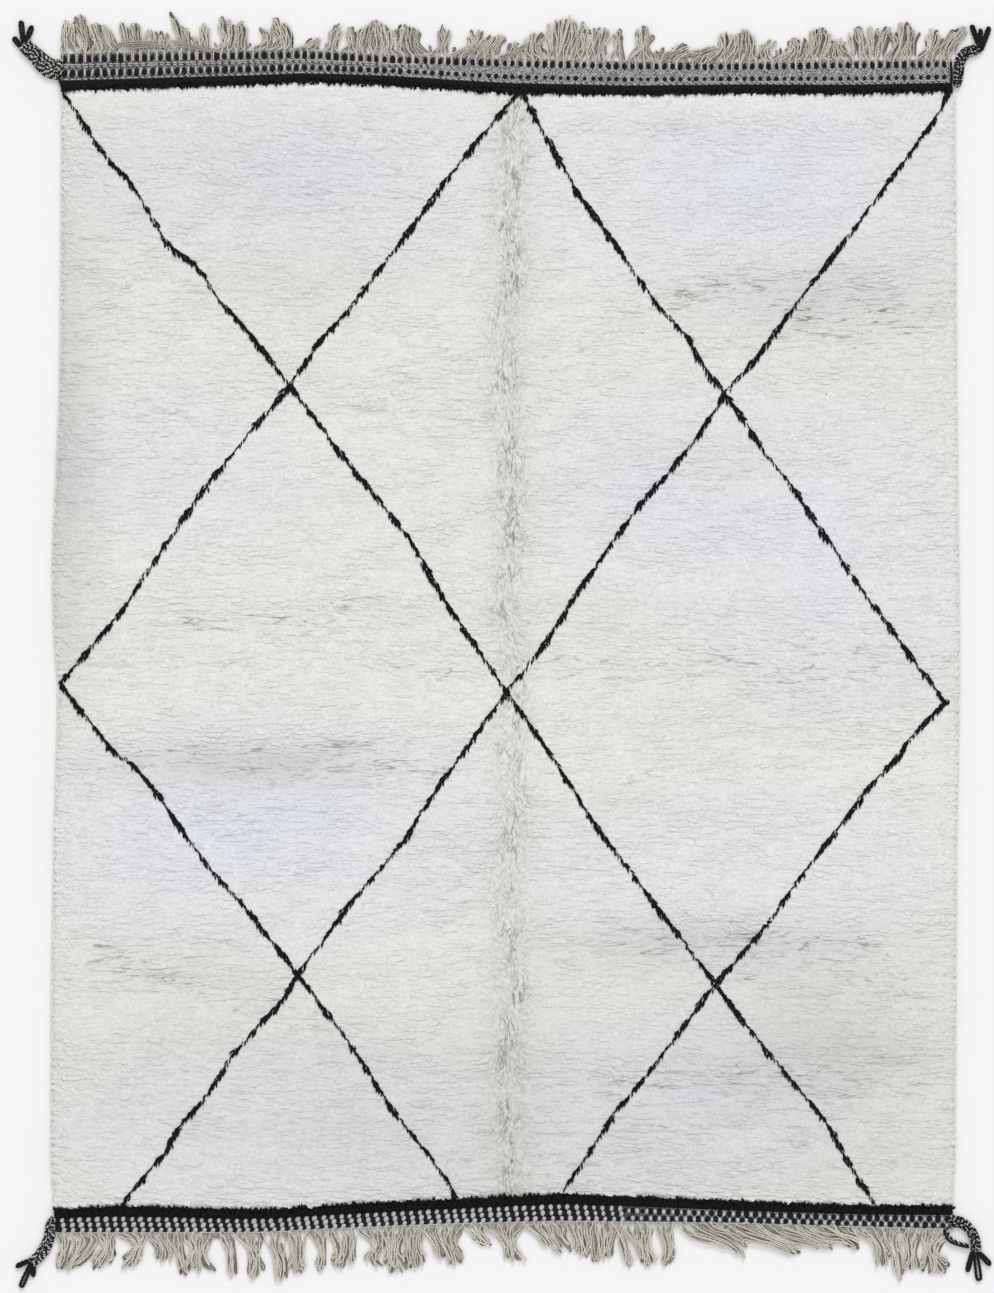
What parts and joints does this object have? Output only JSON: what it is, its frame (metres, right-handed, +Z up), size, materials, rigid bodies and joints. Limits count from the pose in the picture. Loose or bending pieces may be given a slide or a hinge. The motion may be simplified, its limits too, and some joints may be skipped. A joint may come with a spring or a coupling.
{
  "type": "beni ourain rug",
  "caption": "Large hand-knotted wool rug with ivory pile, black diamond lattice, black end bands, twined headings, warp fringe and plaited corners, lying flat.",
  "frame": {"origin": "on the floor, under the middle of the whole rug, fringes and corner plaits included", "axes": "+Y along the rug's length towards the end with the two dotted rows, +X to the right seen from above, +Z up out of the pile"},
  "size_m": [2.4474, 3.1904, 0.0189],
  "materials": {
    "ivory_pile": "dense ivory sheep's wool pile, matt",
    "black_pile": "black wool pile, matt",
    "twined_heading": "black and grey-white wool twined in rows, matt",
    "warp_fringe": "undyed twisted warp yarn, matt",
    "side_cord": "ivory wool wrapped round the outer warps, matt",
    "plaited_yarn": "black and white wool yarn plaited, matt"
  },
  "bodies": {
    "root": {"pile_field": "ivory_pile", "black_band_top": "black_pile", "black_band_bottom": "black_pile", "heading_top": "twined_heading", "heading_bottom": "twined_heading", "fringe_top": "warp_fringe", "fringe_bottom": "warp_fringe", "side_cord_left": "side_cord", "side_cord_right": "side_cord", "corner_plait_nw": "plaited_yarn", "corner_plait_ne": "plaited_yarn", "corner_plait_sw": "plaited_yarn", "corner_plait_se": "plaited_yarn"}
  },
  "joints": []
}
